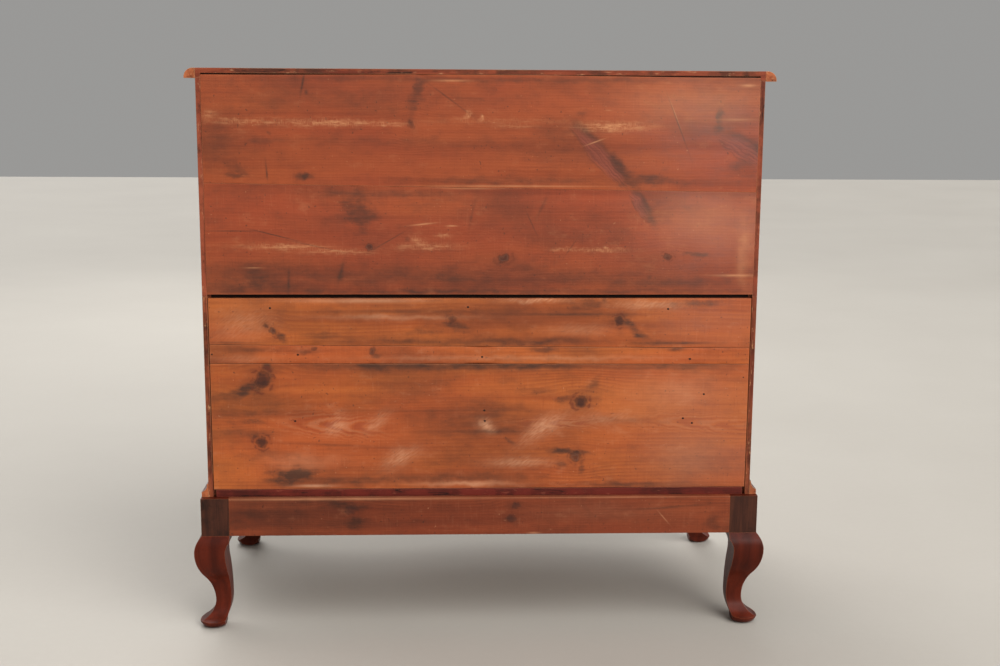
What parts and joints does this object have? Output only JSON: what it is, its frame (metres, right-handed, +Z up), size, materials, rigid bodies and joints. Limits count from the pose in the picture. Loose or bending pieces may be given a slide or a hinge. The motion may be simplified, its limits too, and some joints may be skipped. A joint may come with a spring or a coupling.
{
  "type": "serpentine chest of drawers",
  "caption": "Two-part wooden chest of drawers with a serpentine front, long drawers with brass swan-neck bails, plain boarded back, and a stand on cabriole legs.",
  "frame": {"origin": "middle of the footprint on the floor", "axes": "+X to the right seen from the front, +Y to the back, +Z up; the drawers open along -Y"},
  "size_m": [1.182, 0.6126, 1.15],
  "materials": {
    "polished_hardwood": "red-brown, worn wax polish",
    "stained_pine": "red-brown stain, rubbed and knotty",
    "drawer_lining": "unpolished softwood",
    "brass": "aged brass"
  },
  "bodies": {
    "chest": {"leg_front_left": "polished_hardwood", "leg_front_right": "polished_hardwood", "leg_rear_left": "polished_hardwood", "leg_rear_right": "polished_hardwood", "stand_front_rail": "polished_hardwood", "stand_back_rail": "stained_pine", "stand_left_rail": "polished_hardwood", "stand_right_rail": "polished_hardwood", "stand_moulding_front": "polished_hardwood", "stand_moulding_left": "polished_hardwood", "stand_moulding_right": "polished_hardwood", "lower_side_left": "polished_hardwood", "lower_side_right": "polished_hardwood", "lower_bottom_board": "stained_pine", "lower_bottom_rail": "polished_hardwood", "lower_divider_rail": "polished_hardwood", "lower_top_board": "drawer_lining", "upper_side_left": "polished_hardwood", "upper_side_right": "polished_hardwood", "upper_bottom_board": "drawer_lining", "upper_divider_rail": "polished_hardwood", "upper_frieze_rail": "polished_hardwood", "top_board": "polished_hardwood", "lower_back_lower_board": "stained_pine", "lower_back_middle_board": "stained_pine", "lower_back_upper_board": "stained_pine", "upper_back_lower_board": "stained_pine", "upper_back_upper_board": "stained_pine", "drawer_runners": "drawer_lining", "top_moulding_front": "polished_hardwood", "top_moulding_left": "polished_hardwood", "top_moulding_right": "polished_hardwood"},
    "drawer_1": {"drawer_1_front": "polished_hardwood", "drawer_1_sides": "drawer_lining", "drawer_1_back": "drawer_lining", "drawer_1_bottom": "drawer_lining", "drawer_1_brass_fittings": "brass"},
    "drawer_1_bail_left": {"drawer_1_bail_left": "brass"},
    "drawer_1_bail_right": {"drawer_1_bail_right": "brass"},
    "drawer_2": {"drawer_2_front": "polished_hardwood", "drawer_2_sides": "drawer_lining", "drawer_2_back": "drawer_lining", "drawer_2_bottom": "drawer_lining", "drawer_2_brass_fittings": "brass"},
    "drawer_2_bail_left": {"drawer_2_bail_left": "brass"},
    "drawer_2_bail_right": {"drawer_2_bail_right": "brass"},
    "drawer_3": {"drawer_3_front": "polished_hardwood", "drawer_3_sides": "drawer_lining", "drawer_3_back": "drawer_lining", "drawer_3_bottom": "drawer_lining", "drawer_3_brass_fittings": "brass"},
    "drawer_3_bail_left": {"drawer_3_bail_left": "brass"},
    "drawer_3_bail_right": {"drawer_3_bail_right": "brass"},
    "drawer_4": {"drawer_4_front": "polished_hardwood", "drawer_4_sides": "drawer_lining", "drawer_4_back": "drawer_lining", "drawer_4_bottom": "drawer_lining", "drawer_4_brass_fittings": "brass"},
    "drawer_4_bail_left": {"drawer_4_bail_left": "brass"},
    "drawer_4_bail_right": {"drawer_4_bail_right": "brass"}
  },
  "joints": [
    {"name": "drawer_1_slide", "type": "slide", "parent": "chest", "child": "drawer_1", "axis": [0, -1, 0], "range_m": [0, 0.38]},
    {"name": "drawer_1_bail_left_hinge", "type": "hinge", "parent": "drawer_1", "child": "drawer_1_bail_left", "pos_m": [-0.34061, -0.24944, 1.00625], "axis": [-1, 0, 0], "range_deg": [-15, 95]},
    {"name": "drawer_1_bail_right_hinge", "type": "hinge", "parent": "drawer_1", "child": "drawer_1_bail_right", "pos_m": [0.34061, -0.24944, 1.00625], "axis": [-1, 0, 0], "range_deg": [-15, 95]},
    {"name": "drawer_2_slide", "type": "slide", "parent": "chest", "child": "drawer_2", "axis": [0, -1, 0], "range_m": [0, 0.38]},
    {"name": "drawer_2_bail_left_hinge", "type": "hinge", "parent": "drawer_2", "child": "drawer_2_bail_left", "pos_m": [-0.34061, -0.24944, 0.81025], "axis": [-1, 0, 0], "range_deg": [-15, 95]},
    {"name": "drawer_2_bail_right_hinge", "type": "hinge", "parent": "drawer_2", "child": "drawer_2_bail_right", "pos_m": [0.34061, -0.24944, 0.81025], "axis": [-1, 0, 0], "range_deg": [-15, 95]},
    {"name": "drawer_3_slide", "type": "slide", "parent": "chest", "child": "drawer_3", "axis": [0, -1, 0], "range_m": [0, 0.38]},
    {"name": "drawer_3_bail_left_hinge", "type": "hinge", "parent": "drawer_3", "child": "drawer_3_bail_left", "pos_m": [-0.34061, -0.24944, 0.60425], "axis": [-1, 0, 0], "range_deg": [-15, 95]},
    {"name": "drawer_3_bail_right_hinge", "type": "hinge", "parent": "drawer_3", "child": "drawer_3_bail_right", "pos_m": [0.34061, -0.24944, 0.60425], "axis": [-1, 0, 0], "range_deg": [-15, 95]},
    {"name": "drawer_4_slide", "type": "slide", "parent": "chest", "child": "drawer_4", "axis": [0, -1, 0], "range_m": [0, 0.38]},
    {"name": "drawer_4_bail_left_hinge", "type": "hinge", "parent": "drawer_4", "child": "drawer_4_bail_left", "pos_m": [-0.34061, -0.24944, 0.40825], "axis": [-1, 0, 0], "range_deg": [-15, 95]},
    {"name": "drawer_4_bail_right_hinge", "type": "hinge", "parent": "drawer_4", "child": "drawer_4_bail_right", "pos_m": [0.34061, -0.24944, 0.40825], "axis": [-1, 0, 0], "range_deg": [-15, 95]}
  ]
}
